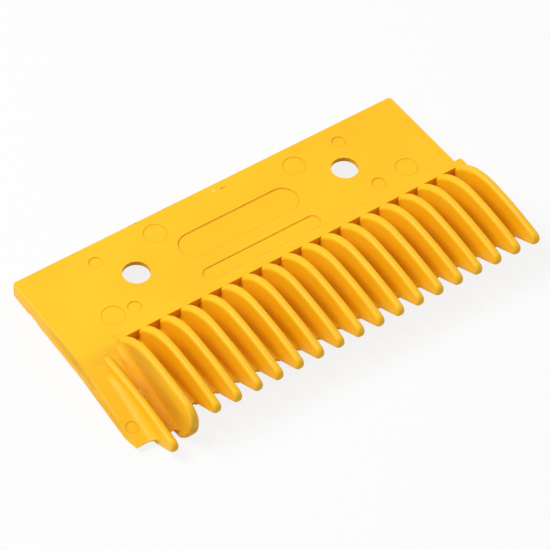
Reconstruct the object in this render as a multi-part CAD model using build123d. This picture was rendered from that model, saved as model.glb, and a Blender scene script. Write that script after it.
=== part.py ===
from build123d import *
import os
from math import atan2, ceil, cos, degrees, floor, radians, sin, tan

# Escalator comb plate, moulded in one piece of plastic, in millimetres.
# It is drawn with its top face level: X runs along the comb, Y points to the
# back of the plate with Y = 0 at the front of the lip, and Z = 0 is the top
# face. The finished part is then set down on its seating face.

# Fixing plate, a wedge that is thinner at the back and hollow underneath
plate_width = 173.7
plate_depth = 44.5
plate_back_height = 5.95
plate_front_height = 8.4
plate_wall = 2.0
skirt_wall = 2.6
front_wall = 4.4
rib_wall = 1.8
bay_width_limit = 16.0
bay_corner_radius = 0.8
corner_radius = 1.3
edge_radius = 0.45

# Fixing holes, with margins from the ends of the plate
hole_diameter = 10.7
hole_setback = 23.5
hole_left_margin = 40.9
hole_right_margin = 37.3
hole_bay_width = 17.4

# Lip that the teeth grow from
lip_depth = 2.9
lip_rise = 0.3
lip_fade = 1.1
lip_overhang = 2.75
lip_tab_reach = 1.55

# Comb
tooth_pitch = 9.07
last_tooth_inset = 0.45
crest_width = 3.2
crest_radius = 1.3
crest_clearance = 2.1
flank_draft = 3.2
plan_draft = 0.4
slot_depth = 4.5
slot_corner_radius = 1.3
slot_least_flat = 0.3
slot_floor_reach = 35.9

# Side outline of a tall tooth: reach forward of the lip, and height. The apex is
# where the crest and the bevel under the nose would meet if the nose were sharp.
peak_reach = 20.0
peak_height = 8.3
rise_reach = 8.6
rise_height = 6.4
fall_reach = 32.5
fall_height = 7.05
apex_reach = 53.2
apex_height = 2.2
nose_radius = 2.8
bevel_angle = 24.5
heel_height = -8.0

# Low side wing: a sloping ledge with one low tooth, a step below the comb, on what
# the tall teeth leave of the plate's width
wing_least_width = 18.0
wing_slope = 16.5
wing_reach = 37.4
wing_bend_reach = 30.0
wing_bend_height = -13.5
wing_bevel_angle = 15.0
wing_foot_radius = 3.6
wing_front_radius = 3.4
channel_reach = 38.3
channel_low_foot_radius = 0.9
channel_corner_foot_radius = 3.2
channel_front_radius = 2.0
low_step = 9.6
low_root_height = -1.0
low_mid_reach = 22.0
low_mid_height = -1.4

# Blunt nose of the corner tooth, which stands between the comb and the wing: the reach
# of its tip, how far behind the tip its other points are, their heights, and the radius
# that leads from the crest into the nose, with the most of its room that it may fill
blunt_reach = 46.9
blunt_top_setback = 2.9
blunt_top_height = 4.9
blunt_brow_setback = 0.5
blunt_brow_height = 1.6
blunt_tip_height = -2.4
blunt_chin_setback = 2.0
blunt_chin_height = -9.2
blunt_heel_setback = 5.4
blunt_top_radius = 7.0
blunt_top_share = 0.98

# Marks left by the mould, and shallow panels. A pad mark is given by its distance from
# the left or right end of the plate and its setback from the lip.
pin_mark_diameter = 5.3
pin_mark_depth = 0.3
pin_mark_margin = 31.1
pin_mark_setbacks = (10.05, 35.9)
pad_mark_diameter = 8.9
pad_mark_depth = 0.15
left_pad_marks = ((22.25, 10.9), (57.55, 35.8))
right_pad_marks = ((17.35, 10.8), (52.65, 35.1))
panel_hole_gap = 21.35
panel_width = 12.2
panel_setback = 23.15
panel_depth = 0.4
strip_width = 6.2
strip_setback = 7.9
wing_mark_diameter = 4.7
wing_mark_reach = 30.2
wing_mark_inset = 3.0

# Notch under the left skirt
notch_length = 6.0
notch_height = 0.7
notch_setback = 30.3

# Distances that reach past the part: to any side, above and below
far = 60.0
high = 15.0
deep = 25.0

hole_spacing = plate_width - hole_left_margin - hole_right_margin
panel_length = hole_spacing - 2 * panel_hole_gap
plate_left = -hole_spacing / 2 - hole_left_margin
plate_right = plate_left + plate_width
plate_middle = (plate_left + plate_right) / 2
wedge_angle = degrees(atan2(plate_front_height - plate_back_height, plate_depth))

# Each tooth is given by where its middle is in X and how high its peak stands
tall_tooth_count = 1 + floor((plate_width - last_tooth_inset - wing_least_width) / tooth_pitch)
last_tooth = (plate_right - last_tooth_inset, peak_height)
corner_tooth = (last_tooth[0] - tooth_pitch * (tall_tooth_count - 1), peak_height)
low_tooth = (corner_tooth[0] - tooth_pitch, peak_height - low_step)
channel_middle = (low_tooth[0] + corner_tooth[0]) / 2


def slab(side, left, right):
    """A side view, drawn in Y and Z, as a solid from left to right."""
    return Pos(left, 0, 0) * extrude(Plane.YZ * side, amount=right - left)


def polygon_slab(points, left, right):
    """A slab whose side view is a polygon."""
    return slab(make_face(Polyline(*points, close=True)), left, right)


def flank(tooth, side, height, reach=0):
    """X of a tooth's flank, which spreads downwards and draws in forwards."""
    middle, peak = tooth
    spread = (peak - height) * tan(radians(flank_draft)) - reach * tan(radians(plan_draft))
    return middle + side * (crest_width / 2 + spread)


def beside(tooth, side):
    """All the space on one side of a tooth, past its flank."""
    middle, peak = tooth
    start = (middle + side * crest_width / 2, 0, peak)
    outward = (side, -tan(radians(plan_draft)), tan(radians(flank_draft)))
    return extrude(Plane(origin=start, z_dir=outward) * Rectangle(4 * far, 4 * far), amount=far)


def room(left_spot, right_spot, height, reach):
    """Clear width between the flanks of two teeth."""
    return flank(right_spot, -1, height, reach) - flank(left_spot, 1, height, reach)


def ledge_height(y):
    """Height of the sloping ledge at a distance from the lip."""
    return y * tan(radians(wing_slope))


def crest_lines(end):
    """Top of a tall tooth, from the lip over the peak to an end point."""
    rise = ThreePointArc((0, lip_rise), (-rise_reach, rise_height), (-peak_reach, peak_height))
    return [rise, ThreePointArc((-peak_reach, peak_height), (-fall_reach, fall_height), end)]


def pointed_side(crest, drop, bottom, base):
    """Side view of a tooth with a crest that ends at the apex, and a rounded nose."""
    apex = (-apex_reach, apex_height - drop)
    heel = (-apex_reach + (apex[1] - bottom) / tan(radians(bevel_angle)), bottom)
    face = make_face([*crest, Polyline(apex, heel, *base)])
    return fillet(face.vertices().sort_by(Axis.X)[0], nose_radius)


def tall_side():
    """Side view of a tall tooth."""
    crest = crest_lines((-apex_reach, apex_height))
    return pointed_side(crest, 0, heel_height, [(0, -plate_front_height), (0, lip_rise)])


def low_side():
    """Side view of the low tooth."""
    root = (0, low_root_height)
    crest = [ThreePointArc(root, (-low_mid_reach, low_mid_height), (-apex_reach, apex_height - low_step))]
    base = [(-wing_bend_reach, wing_bend_height), (0, -plate_front_height), root]
    return pointed_side(crest, low_step, wing_bend_height, base)


def brow_room(crest, nose):
    """Largest radius that leads from a crest into a round nose and ends above the tip."""
    turn = radians((crest % 1).get_angle(nose % 0))
    whole = turn + nose.length / nose.radius
    return nose.radius * (cos(turn) - cos(whole)) / (1 - cos(whole))


def corner_side():
    """Side view of the corner tooth, as tall as the comb and as deep as the wing."""
    top = (blunt_top_setback - blunt_reach, blunt_top_height)
    tip = (-blunt_reach, blunt_tip_height)
    heel = (blunt_heel_setback - blunt_reach, wing_bend_height)
    upper = ThreePointArc(top, (blunt_brow_setback - blunt_reach, blunt_brow_height), tip)
    lower = ThreePointArc(tip, (blunt_chin_setback - blunt_reach, blunt_chin_height), heel)
    base = Polyline(heel, (-wing_bend_reach, wing_bend_height), (0, -plate_front_height), (0, lip_rise))
    crest = crest_lines(top)
    face = make_face([*crest, upper, lower, base])
    radius = min(blunt_top_radius, blunt_top_share * brow_room(crest[-1], upper))
    return fillet(face.vertices().sort_by_distance(top)[0], radius)


def tooth(side, spot):
    """One tooth with drafted flanks and a rounded crest and nose."""
    body = slab(side, flank(spot, -1, -deep), flank(spot, 1, -deep))
    body -= beside(spot, -1)
    body -= beside(spot, 1)
    curved = [edge for edge in body.edges() if edge.geom_type != GeomType.LINE]
    return fillet(curved, crest_radius)


def slot_tool(left_spot, right_spot, depth, slope, reach, foot_radii):
    """The space between two teeth, over a floor that slopes down to the front, with rounded
    feet that leave some of the floor flat."""
    front = -depth - reach * tan(radians(slope))
    width = min(room(left_spot, right_spot, -depth, 0), room(left_spot, right_spot, front, reach))
    share = min(1, (width - slot_least_flat) / sum(foot_radii))
    above = polygon_slab(
        [(0, -depth), (-reach, front), (-reach, far), (0, far)], left_spot[0], right_spot[0])
    tool = above & beside(left_spot, 1) & beside(right_spot, -1)
    for at_side, radius in zip((0, -1), foot_radii):
        bottom = tool.faces().sort_by(Axis.Z)[0]
        feet = [edge for edge in bottom.edges() if abs((edge @ 0).Y - (edge @ 1).Y) > radius]
        tool = fillet(ShapeList(feet).sort_by(Axis.X)[at_side], share * radius)
    return tool


def front_tool(left_spot, right_spot, reach, foot, corner):
    """The space between two teeth in front of a slot floor, with round inner corners."""
    left = flank(left_spot, 1, foot, reach + corner)
    right = flank(right_spot, -1, foot, reach + corner)
    plan = make_face(Polyline((left, -reach), (right, -reach), (right, -far), (left, -far), close=True))
    plan = fillet(plan.vertices().sort_by(Axis.Y)[2:], min(corner, (right - left - slot_least_flat) / 2))
    return Pos(0, 0, -deep) * extrude(plan, amount=deep + high)


def behind(reach, left, right):
    """All the space behind a plane that stands at a reach forward of the lip."""
    return polygon_slab([(-reach, -far), (0, -far), (0, far), (-reach, far)], left, right)


def sunk(body):
    """A body drawn down from its crest, so that it stays inside a rounded tooth."""
    return body & Pos(0, 0, -crest_clearance) * body


def web(left_spot, right_spot):
    """Floor of a slot between two tall teeth, with rounded feet up the flanks."""
    reach = slot_floor_reach + slot_corner_radius
    body = sunk(slab(tall_side(), left_spot[0], right_spot[0])) & behind(reach, left_spot[0], right_spot[0])
    foot_radii = (slot_corner_radius, slot_corner_radius)
    body -= slot_tool(left_spot, right_spot, slot_depth, 0, 2 * reach, foot_radii)
    foot = slot_corner_radius - slot_depth
    return body - front_tool(left_spot, right_spot, slot_floor_reach, foot, slot_corner_radius)


def wing():
    """Sloping ledge beside the comb, with the foot of the low and corner teeth."""
    right = corner_tooth[0]
    reach = channel_reach + channel_front_radius
    front_height = wing_bend_height + (far - wing_bend_reach) * tan(radians(wing_bevel_angle))
    body = polygon_slab([
        (0, -plate_front_height), (-wing_bend_reach, wing_bend_height),
        (-far, front_height), (-far, far), (0, far)], plate_left, right)
    beyond = (low_tooth[0] - far, low_tooth[1])
    cut_reach = reach + channel_front_radius
    body -= slot_tool(beyond, low_tooth, 0, wing_slope, cut_reach, (wing_foot_radius, wing_foot_radius))
    channel_feet = (channel_low_foot_radius, channel_corner_foot_radius)
    body -= slot_tool(low_tooth, corner_tooth, 0, wing_slope, cut_reach, channel_feet)
    foot = ledge_height(-wing_reach)
    body -= front_tool(beyond, low_tooth, wing_reach, foot, wing_front_radius)
    body -= front_tool(low_tooth, corner_tooth, channel_reach, foot, channel_front_radius)
    ledge = polygon_slab([(0, 0), (-far, ledge_height(-far)), (0, -far)], plate_left, right)
    low_foot = sunk(slab(low_side(), plate_left, channel_middle))
    corner_foot = sunk(slab(corner_side(), channel_middle, right))
    body &= (ledge + low_foot + corner_foot) & behind(reach, plate_left, right)
    return body - ledge_rounding()


def ledge_rounding():
    """What is cut off the outer edge of the ledge, which carries on the round rim of the plate."""
    corner = Pos(plate_left, 0) * Rectangle(2 * edge_radius, 2 * edge_radius)
    corner -= Pos(plate_left + edge_radius, -edge_radius) * Circle(edge_radius)
    down_the_slope = (0, -cos(radians(wing_slope)), -sin(radians(wing_slope)))
    return extrude(Plane.XZ * corner, amount=far, dir=down_the_slope)


def comb():
    """All the teeth with the slots between them."""
    spot = (0, peak_height)
    next_spot = (tooth_pitch, peak_height)
    cell = tooth(tall_side(), next_spot) + web(spot, next_spot)
    first = corner_tooth[0]
    cells = [Pos(first + tooth_pitch * k, 0, 0) * cell for k in range(tall_tooth_count - 1)]
    low = tooth(low_side(), low_tooth)
    corner = tooth(corner_side(), corner_tooth)
    return wing().fuse(low, corner, *cells).clean()


def bays():
    """Left and right edges of the hollows under the plate, marked where a hole stands."""
    inner_left = plate_left + skirt_wall
    inner_right = plate_right - skirt_wall
    hole_bays = [
        (side * hole_spacing / 2 - hole_bay_width / 2, side * hole_spacing / 2 + hole_bay_width / 2)
        for side in (-1, 1)]
    spans = [
        (inner_left, hole_bays[0][0] - rib_wall),
        (hole_bays[0][1] + rib_wall, hole_bays[1][0] - rib_wall),
        (hole_bays[1][1] + rib_wall, inner_right)]
    plain = []
    for left, right in spans:
        count = ceil((right - left + rib_wall) / (bay_width_limit + rib_wall))
        width = (right - left - rib_wall * (count - 1)) / count
        starts = [left + k * (width + rib_wall) for k in range(count)]
        plain += [(start, start + width) for start in starts]
    return plain, hole_bays


def hollow(left, right, front, back):
    """A hollow under the plate, open below."""
    shape = RectangleRounded(right - left, back - front, bay_corner_radius)
    return extrude(Pos((left + right) / 2, (front + back) / 2, -plate_wall) * shape, amount=-deep)


def plate():
    """Fixing plate with rounded edges, hollow underneath between ribs."""
    body = polygon_slab([
        (0, 0), (plate_depth, 0), (plate_depth, -plate_back_height), (0, -plate_front_height)],
        plate_left, plate_right)
    back = body.faces().sort_by(Axis.Y)[-1]
    body = fillet(back.edges().filter_by(Axis.Z), corner_radius)
    rim = [edge for edge in body.faces().sort_by(Axis.Z)[-1].edges() if (edge @ 0.5).Y > 0]
    body = fillet(rim, edge_radius)
    plain, with_hole = bays()
    back_wall = plate_depth - skirt_wall
    tools = [hollow(left, right, front_wall, back_wall) for left, right in with_hole]
    for left, right in plain:
        tools.append(hollow(left, right, front_wall, hole_setback - rib_wall / 2))
        tools.append(hollow(left, right, hole_setback + rib_wall / 2, back_wall))
    return body.cut(*tools)


def lip():
    """Raised strip behind the teeth, which runs on past the plate at the right."""
    strip = polygon_slab([
        (0, -plate_wall), (0, lip_rise), (lip_depth, lip_rise),
        (lip_depth + lip_fade, 0), (lip_depth + lip_fade, -plate_wall)],
        flank(corner_tooth, -1, lip_rise), plate_right - edge_radius)
    end = polygon_slab([
        (-lip_tab_reach, heel_height), (-lip_tab_reach, lip_rise),
        (lip_depth, lip_rise), (lip_depth, heel_height)],
        last_tooth[0], plate_right + lip_overhang)
    tip = end.faces().sort_by(Axis.X)[-1]
    return strip + fillet(tip.edges().filter_by(Axis.Z), edge_radius)


def marks():
    """Shallow recesses in the top face and in the ledge."""
    pin = extrude(Circle(pin_mark_diameter / 2), amount=-pin_mark_depth)
    pad = extrude(Circle(pad_mark_diameter / 2), amount=-pad_mark_depth)
    pin_places = (plate_left + pin_mark_margin, plate_right - pin_mark_margin)
    tools = [Pos(x, setback, 0) * pin for x in pin_places for setback in pin_mark_setbacks]
    tools += [Pos(plate_left + margin, setback, 0) * pad for margin, setback in left_pad_marks]
    tools += [Pos(plate_right - margin, setback, 0) * pad for margin, setback in right_pad_marks]
    panel = extrude(SlotOverall(panel_length, panel_width), amount=-panel_depth)
    strip = extrude(SlotOverall(panel_length, strip_width), amount=-panel_depth)
    tools += [Pos(plate_middle, panel_setback, 0) * panel, Pos(plate_middle, strip_setback, 0) * strip]
    ledge = Pos(plate_left + wing_mark_inset, -wing_mark_reach, ledge_height(-wing_mark_reach))
    wing_mark = extrude(Circle(wing_mark_diameter / 2), amount=-pad_mark_depth)
    tools.append(ledge * Rot(wing_slope, 0, 0) * wing_mark)
    return tools


def set_down(body):
    """Turn and lower the part so that it rests on Z = 0, with the origin between the holes."""
    angle = radians(wedge_angle)
    down = Pos(0, -hole_setback * cos(angle), plate_front_height * cos(angle))
    return down * Rot(-wedge_angle, 0, 0) * body


drawn = comb().fuse(plate(), lip()).clean()
drawn = drawn.cut(*marks())
comb_plate = set_down(drawn)

hole = Cylinder(hole_diameter / 2, far)
holes = [Pos(side * hole_spacing / 2, 0, 0) * hole for side in (-1, 1)]
notch_reach = 2 * (skirt_wall + bay_corner_radius)
notch = Pos(plate_left, notch_setback - hole_setback, 0) * Box(notch_reach, notch_length, 2 * notch_height)
comb_plate = comb_plate.cut(*holes, notch)

os.makedirs("parts", exist_ok=True)
export_step(comb_plate, "parts/comb_plate.step")
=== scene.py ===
import bpy
from mathutils import Matrix, Vector


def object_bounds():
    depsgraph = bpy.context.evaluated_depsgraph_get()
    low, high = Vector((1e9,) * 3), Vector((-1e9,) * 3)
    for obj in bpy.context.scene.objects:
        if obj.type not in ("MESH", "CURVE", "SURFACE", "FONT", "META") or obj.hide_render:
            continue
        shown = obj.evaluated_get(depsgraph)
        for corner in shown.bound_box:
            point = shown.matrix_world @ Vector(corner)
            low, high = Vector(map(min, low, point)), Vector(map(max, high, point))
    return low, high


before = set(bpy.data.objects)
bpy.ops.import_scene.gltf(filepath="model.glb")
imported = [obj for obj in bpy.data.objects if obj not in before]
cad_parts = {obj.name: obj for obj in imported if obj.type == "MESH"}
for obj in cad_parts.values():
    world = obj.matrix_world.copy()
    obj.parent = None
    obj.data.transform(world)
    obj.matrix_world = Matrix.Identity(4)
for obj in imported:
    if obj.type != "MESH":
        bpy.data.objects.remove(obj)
cad_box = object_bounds()

MM = 0.001
WHITE = (1, 1, 1, 1)


def mm(values):
    """Millimetres as metres."""
    return [value * MM for value in values]


# ---------------------------------------------------------------- camera
# Position, direction and right-hand side of the view, in the part's frame.
camera_at = Vector(mm((-478.1, -585.7, 914.6)))
look = Vector((0.40590, 0.47828, -0.77878)).normalized()
aside = Vector((0.81302, -0.57817, 0.06866)).normalized()
upward = aside.cross(look).normalized()

camera_data = bpy.data.cameras.new("camera")
camera_data.sensor_width = 36.0
camera_data.lens = 206.18
camera_data.clip_start = 0.05
camera_data.clip_end = 20.0
camera = bpy.data.objects.new("camera", camera_data)
bpy.context.scene.collection.objects.link(camera)
turn = Matrix((aside, upward, -look)).transposed()
camera.matrix_world = Matrix.Translation(camera_at) @ turn.to_4x4()
bpy.context.scene.camera = camera


# ---------------------------------------------------------------- node helpers
class Tree:
    """Short calls that add shader nodes to a material or the world."""

    def __init__(self, owner):
        owner.use_nodes = True
        self.nodes = owner.node_tree.nodes
        self.links = owner.node_tree.links
        self.nodes.clear()

    def put(self, socket, value):
        """An input linked to an output, or set to a value."""
        if isinstance(value, bpy.types.NodeSocket):
            self.links.new(value, socket)
        else:
            socket.default_value = value

    def add(self, kind, inputs=None, **settings):
        """A node with its settings and its inputs."""
        made = self.nodes.new(kind)
        for name, value in settings.items():
            setattr(made, name, value)
        for socket, value in (inputs or {}).items():
            self.put(made.inputs[socket], value)
        return made

    def math(self, operation, first, second=0.0):
        return self.add("ShaderNodeMath", {0: first, 1: second}, operation=operation).outputs[0]

    def product(self, first, *others):
        for other in others:
            first = self.math("MULTIPLY", first, other)
        return first

    def vector(self, operation, first, *second):
        """A vector operation that gives a vector."""
        inputs = dict(enumerate((first, *second)))
        return self.add("ShaderNodeVectorMath", inputs, operation=operation).outputs["Vector"]

    def measure(self, operation, first, *second):
        """A vector operation that gives a number."""
        inputs = dict(enumerate((first, *second)))
        return self.add("ShaderNodeVectorMath", inputs, operation=operation).outputs["Value"]

    def parts(self, vector):
        """X, Y and Z of a vector."""
        return self.add("ShaderNodeSeparateXYZ", {0: vector}).outputs

    def ramp(self, value, low, high, to_low=0.0, to_high=1.0):
        """A smooth step from to_low at low to to_high at high."""
        made = self.add(
            "ShaderNodeMapRange",
            {"Value": value, "From Min": low, "From Max": high, "To Min": to_low, "To Max": to_high},
            interpolation_type="SMOOTHSTEP",
        )
        return made.outputs["Result"]

    def noise(self, where, scale, detail, roughness, stretch=None):
        if stretch:
            where = self.add("ShaderNodeMapping", {"Vector": where, "Scale": stretch}).outputs[0]
        made = self.add(
            "ShaderNodeTexNoise",
            {"Vector": where, "Scale": scale, "Detail": detail, "Roughness": roughness},
        )
        return made.outputs["Fac"]

    def mix(self, factor, first, second):
        """A blend of two colours, each an output or red, green and blue."""
        made = self.add(
            "ShaderNodeMix", {"Factor": factor}, data_type="RGBA", clamp_factor=True)
        for socket, colour in ((made.inputs[6], first), (made.inputs[7], second)):
            self.put(socket, (*colour, 1.0) if isinstance(colour, tuple) else colour)
        return made.outputs[2]

    def tint(self, colour, other, where, amount):
        """A colour that takes on some of another where a mask is high."""
        return self.mix(self.math("MULTIPLY", where, amount), colour, other)

    def blend_vectors(self, factor, first, second):
        made = self.add("ShaderNodeMix", {0: factor, 4: first, 5: second}, data_type="VECTOR")
        return made.outputs[1]

    def near(self, away, distance, width):
        """1 where something is as far away as a distance in mm, fading to 0 beside it."""
        off = self.math("ABSOLUTE", self.math("SUBTRACT", away, distance * MM))
        return self.ramp(off, width * MM, 0.0)

    def ring(self, where, middle, radius, width):
        """1 on a circle given in mm, fading to 0 beside it."""
        return self.near(self.measure("DISTANCE", where, mm(middle)), radius, width)

    def stadium(self, where, middle, length, width, line):
        """1 on the outline of a stadium that lies along X, given in mm, fading to 0 beside it."""
        shifted = self.parts(self.vector("SUBTRACT", where, mm(middle)))
        along = self.math("ABSOLUTE", shifted["X"])
        past = self.math("MAXIMUM", self.math("SUBTRACT", along, (length - width) / 2 * MM), 0.0)
        across = self.math("ABSOLUTE", shifted["Y"])
        squares = [self.math("POWER", side, 2.0) for side in (past, across)]
        return self.near(self.math("SQRT", self.math("ADD", *squares)), width / 2, line)

    def patch(self, where, middle, size, soft):
        """1 inside an ellipsoid given in mm, fading to 0 past it."""
        shifted = self.vector("SUBTRACT", where, mm(middle))
        scaled = self.vector("MULTIPLY", shifted, [1 / half for half in mm(size)])
        return self.ramp(self.measure("LENGTH", scaled), 1 + soft, 1 - soft)

    def seen_directly(self):
        """1 for what the camera sees, itself or in a reflection, and 0 for what it lights."""
        path = self.add("ShaderNodeLightPath")
        return self.math("MAXIMUM", path.outputs["Is Camera Ray"], path.outputs["Is Glossy Ray"])


# ---------------------------------------------------------------- moulded plastic
# Circles that the mould leaves in the top face and the ledge: middle and radius in mm.
PIN = 2.65
PAD = 4.45
LEDGE_MARK = 2.35
CIRCLES = (
    ((-57.55, -13.43, 7.8), PIN),
    ((-57.55, 12.38, 6.4), PIN),
    ((53.95, -13.43, 7.8), PIN),
    ((53.95, 12.38, 6.4), PIN),
    ((-66.4, -12.58, 7.8), PAD),
    ((-31.1, 12.28, 6.4), PAD),
    ((32.4, 11.58, 6.5), PAD),
    ((67.7, -12.68, 7.8), PAD),
    ((-85.65, -54.09, 1.04), LEDGE_MARK),
)
CIRCLE_LINE = 0.36

# Outlines of the two panels: middle, length and width in mm.
PANELS = (
    ((-1.8, -0.35, 7.0), 52.8, 12.2),
    ((-1.8, -15.57, 7.8), 52.8, 6.2),
)
PANEL_LINE = 0.45

# Directions that the plate's top face and the low ledge look in.
PLATE_UP = (0.0, 0.0550, 0.9985)
LEDGE_UP = (0.0, -0.2309, 0.9730)

# The plastic's two shades, and what tints it.
YELLOW = (0.930, 0.485, 0.003)
LIGHT_YELLOW = (0.960, 0.520, 0.005)
SPECK = (0.86, 0.41, 0.004)
# painted shade: the next colour darkens the corners of recesses and the outlines of the circles and
# panels
RECESS_SHADE = (0.60, 0.24, 0.004)
# painted shade: the next colour darkens the slots between the teeth
SLOT_SHADE = (0.68, 0.26, 0.002)
RUBBED = (0.96, 0.60, 0.060)
SCRATCHED = (0.80, 0.40, 0.02)
DIRT = (0.33, 0.15, 0.02)
GREYED = (0.62, 0.32, 0.018)
# brown: scuffs on the low side, and painted shade on the corner tooth's lower flank and in its
# channel
BROWN = (0.56, 0.22, 0.003)
PALE = (0.98, 0.78, 0.36)

# How far the shade in a corner and between the teeth is looked for, and how wide an edge is.
CORNER_REACH = 1.3 * MM
SLOT_REACH = 10.0 * MM
EDGE_WIDTH = 0.7 * MM

# Worn places, and painted shade on the corner tooth's lower flank and in the channel beside it (the
# brown rows): middle and half size in mm, colour and strength.
FLANK_WEAR_AND_SHADE = (
    ((-71.6, -40.0, 11.0), (1.5, 13.0, 5.5), GREYED, 0.62),
    ((-72.2, -58.0, 5.0), (2.2, 12.0, 5.5), BROWN, 0.75),
    ((-69.6, -69.8, 6.6), (1.6, 1.2, 1.9), DIRT, 0.60),
    ((-74.0, -38.0, 6.4), (1.9, 8.0, 2.4), BROWN, 0.65),
    ((-73.8, -48.0, 4.0), (2.1, 9.0, 2.8), BROWN, 0.90),
    ((-73.6, -58.0, 1.8), (2.1, 8.0, 2.8), BROWN, 0.90),
    ((-88.7, -20.0, 5.0), (1.0, 14.0, 2.6), GREYED, 0.45),
    ((-88.7, -46.0, 0.0), (1.0, 14.0, 2.6), GREYED, 0.35),
)
SCUFFS = (
    ((-35.2, 20.8, 5.8), (3.0, 0.45, 1.0), DIRT, 0.75),
    ((-20.2, 20.7, 5.8), (4.2, 0.45, 1.0), DIRT, 0.75),
    ((-0.6, 17.9, 6.1), (0.7, 0.5, 1.0), PALE, 0.75),
    ((3.0, 17.3, 6.1), (1.9, 0.32, 1.0), DIRT, 0.90),
    ((38.1, -19.6, 8.2), (14.0, 0.9, 1.0), GREYED, 0.30),
    ((-76.5, -25.5, 8.2), (3.4, 2.2, 2.0), GREYED, 0.26),
    ((-70.2, -21.3, 8.3), (2.4, 1.4, 1.5), GREYED, 0.22),
    ((-82.0, -27.4, 7.5), (3.0, 1.8, 2.0), GREYED, 0.26),
    ((-88.7, -23.3, 4.6), (0.8, 2.4, 1.0), BROWN, 0.50),
    ((-88.7, -31.5, 3.4), (0.8, 3.2, 0.8), BROWN, 0.45),
    ((-75.4, -44.0, 3.4), (0.6, 3.2, 0.9), PALE, 0.45),
)

plastic = bpy.data.materials.new("yellow_plastic")
t = Tree(plastic)
spot = t.add("ShaderNodeTexCoord").outputs["Object"]
true_normal = t.add("ShaderNodeNewGeometry").outputs["Normal"]

# colour: a warm yellow with faint clouding from the moulding
cloud = t.ramp(t.noise(spot, 38, 3, 0.55), 0.3, 0.7)
speck = t.ramp(t.noise(spot, 900, 2, 0.6), 0.35, 0.75)
colour = t.mix(cloud, YELLOW, LIGHT_YELLOW)
colour = t.tint(colour, SPECK, speck, 0.10)

# painted shade in the corners of the recesses, round the moulded circles and along the panel
# outlines, on faces that look up, mottled
corner_shade = t.add(
    "ShaderNodeAmbientOcclusion", {"Distance": CORNER_REACH}, samples=8, only_local=True)
recess_shade = t.ramp(corner_shade.outputs["AO"], 0.97, 0.45)
facing_up = t.ramp(t.parts(true_normal)["Z"], 0.6, 0.9)
for middle, radius in CIRCLES:
    ring = t.ring(spot, middle, radius, CIRCLE_LINE)
    recess_shade = t.math("MAXIMUM", recess_shade, t.math("MULTIPLY", ring, 0.95))
for middle, length, width in PANELS:
    line = t.stadium(spot, middle, length, width, PANEL_LINE)
    recess_shade = t.math("MAXIMUM", recess_shade, t.math("MULTIPLY", line, 0.70))
uneven = t.ramp(t.noise(spot, 220, 3, 0.6), 0.30, 0.65, 0.55, 1.0)
colour = t.tint(colour, RECESS_SHADE, t.product(recess_shade, uneven, facing_up), 0.75)

# painted shade deep between the teeth, patchy
deep_shade = t.add(
    "ShaderNodeAmbientOcclusion", {"Distance": SLOT_REACH}, samples=8, only_local=True)
slot_shade = t.ramp(deep_shade.outputs["AO"], 0.40, 0.10)
patchy = t.ramp(t.noise(spot, 180, 3, 0.6), 0.2, 0.7, 0.7, 1.0)
colour = t.tint(colour, SLOT_SHADE, t.product(slot_shade, patchy), 0.60)

# rubbed edges, a little paler and broken up
bevel = t.add("ShaderNodeBevel", {"Radius": EDGE_WIDTH}, samples=4).outputs[0]
edge = t.ramp(t.measure("DOT_PRODUCT", bevel, true_normal), 0.995, 0.90)
broken = t.ramp(t.noise(spot, 260, 3, 0.65), 0.38, 0.62)
rubbed = t.product(edge, broken)
colour = t.tint(colour, RUBBED, rubbed, 0.35)

# the corner tooth's outer flank, greyed by rubbing and darker towards its tip, with painted shade on
# its lower part and in the channel beside it
streaks = t.ramp(t.noise(spot, 150, 4, 0.7, (1.0, 0.18, 1.0)), 0.36, 0.62, 0.45, 1.0)
dull = 0.0
for middle, size, other, amount in FLANK_WEAR_AND_SHADE:
    wear_and_shade = t.patch(spot, middle, size, 0.7)
    dull = t.math("MAXIMUM", wear_and_shade, dull)
    colour = t.tint(colour, other, t.product(wear_and_shade, streaks), amount)

# small scuffs and rubbed spots on the plate, the lip and the low side
crumbled = t.ramp(t.noise(spot, 700, 3, 0.7), 0.40, 0.58)
for middle, size, other, amount in SCUFFS:
    scuffed = t.product(t.patch(spot, middle, size, 0.6), crumbled)
    colour = t.tint(colour, other, scuffed, amount)

# fine scratches along and across the plate
scratch_along = t.ramp(t.noise(spot, 90, 4, 0.7, (1.0, 14.0, 14.0)), 0.60, 0.72)
scratch_across = t.ramp(t.noise(spot, 80, 4, 0.7, (15.0, 1.5, 6.0)), 0.62, 0.74)
scratches = t.math("MAXIMUM", scratch_along, scratch_across)
colour = t.tint(colour, SCRATCHED, scratches, 0.06)

# the plate rolls over softly into the low ledge in front of it
place = t.parts(spot)
down_slope = t.ramp(place["Y"], -20.5 * MM, -26.5 * MM)
beside_comb = t.ramp(place["X"], -72.6 * MM, -74.6 * MM)
behind_tooth = t.ramp(place["Y"], -27.5 * MM, -26.5 * MM)
before_plate = t.ramp(place["Y"], -18.5 * MM, -19.5 * MM)
at_fold = t.product(behind_tooth, before_plate, beside_comb, facing_up)
rolled = t.blend_vectors(down_slope, PLATE_UP, LEDGE_UP)
rolled = t.blend_vectors(at_fold, true_normal, rolled)

# relief: fine grain, slow swells and the scratches, as heights in mm
grain = t.math("MULTIPLY", t.noise(spot, 2600, 2, 0.5), 0.006)
swell = t.math("MULTIPLY", t.noise(spot, 120, 2, 0.5), 0.030)
cut = t.math("MULTIPLY", scratches, 0.006)
height = t.math("SUBTRACT", t.math("ADD", grain, swell), cut)
bump = t.add(
    "ShaderNodeBump", {"Strength": 0.8, "Distance": MM, "Height": height, "Normal": rolled})

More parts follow.
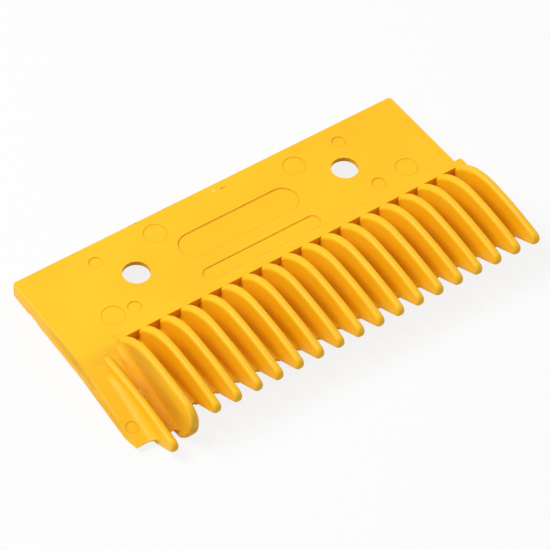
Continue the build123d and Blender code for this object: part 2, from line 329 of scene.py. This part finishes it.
# roughness: uneven, and higher where the surface is scratched, rubbed or worn, and on the patches of
# painted shade
rough = t.ramp(t.noise(spot, 60, 3, 0.6), 0.3, 0.7, 0.46, 0.56)
for where, amount in ((scratches, 0.10), (rubbed, 0.08), (dull, 0.34)):
    rough = t.math("ADD", rough, t.math("MULTIPLY", where, amount))

shader = t.add(
    "ShaderNodeBsdfPrincipled",
    {"Base Color": colour, "Roughness": rough, "Normal": bump.outputs[0], "IOR": 1.45})
t.add("ShaderNodeOutputMaterial", {"Surface": shader.outputs[0]})

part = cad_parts["comb_plate"]
for holder in part.material_slots:
    holder.material = plastic

# ---------------------------------------------------------------- floor
# White paper just under the part, out to a good way past the view. The camera sees it
# mostly as plain white, with the part's shadow on it.
FLOOR_GAP = 0.1 * MM
FLOOR_SPAN = 3.0
PAPER_TONES = ((0.79, 0.79, 0.79), (0.81, 0.81, 0.81))
PLAIN_SHARE = 0.85

floor_height = cad_box[0].z - FLOOR_GAP
corners = ((-1, -1), (1, -1), (1, 1), (-1, 1))
floor_mesh = bpy.data.meshes.new("floor")
floor_mesh.from_pydata(
    [(x * FLOOR_SPAN, y * FLOOR_SPAN, floor_height) for x, y in corners], [], [(0, 1, 2, 3)])
floor = bpy.data.objects.new("floor", floor_mesh)
bpy.context.scene.collection.objects.link(floor)

paper = bpy.data.materials.new("floor_paper")
t = Tree(paper)
spot = t.add("ShaderNodeTexCoord").outputs["Object"]
fibre = t.ramp(t.noise(spot, 400, 3, 0.6), 0.3, 0.7)
sheet = t.add("ShaderNodeBsdfDiffuse", {"Color": t.mix(fibre, *PAPER_TONES)})
white = t.add("ShaderNodeEmission", {"Color": WHITE, "Strength": 1.0})
plain = t.math("MULTIPLY", t.seen_directly(), PLAIN_SHARE)
shown = t.add("ShaderNodeMixShader", {0: plain, 1: sheet.outputs[0], 2: white.outputs[0]})
t.add("ShaderNodeOutputMaterial", {"Surface": shown.outputs[0]})
floor_mesh.materials.append(paper)

# ---------------------------------------------------------------- light
# The sky lights the part dimly, and is white where the camera sees it.
SKY_LIGHT = 0.28
SKY_SEEN = 1.0

world = bpy.data.worlds.new("studio")
bpy.context.scene.world = world
t = Tree(world)
ambient = t.add("ShaderNodeBackground", {"Color": WHITE, "Strength": SKY_LIGHT})
backdrop = t.add("ShaderNodeBackground", {"Color": WHITE, "Strength": SKY_SEEN})
sky = t.add(
    "ShaderNodeMixShader",
    {0: t.seen_directly(), 1: ambient.outputs[0], 2: backdrop.outputs[0]})
t.add("ShaderNodeOutputWorld", {"Surface": sky.outputs[0]})


def softbox(name, place, size, power):
    """A square lamp that points at the part, in metres and watts."""
    data = bpy.data.lights.new(name, "AREA")
    data.shape = "SQUARE"
    data.size = size
    data.energy = power
    lamp = bpy.data.objects.new(name, data)
    lamp.location = place
    lamp.rotation_euler = (-Vector(place)).to_track_quat("-Z", "Y").to_euler()
    bpy.context.scene.collection.objects.link(lamp)


softbox("key", (-0.64, 0.46, 1.05), 0.75, 17.0)
softbox("fill", (1.10, -0.35, 0.70), 0.90, 4.0)

# ---------------------------------------------------------------- view settings
bpy.context.scene.view_settings.view_transform = "Standard"
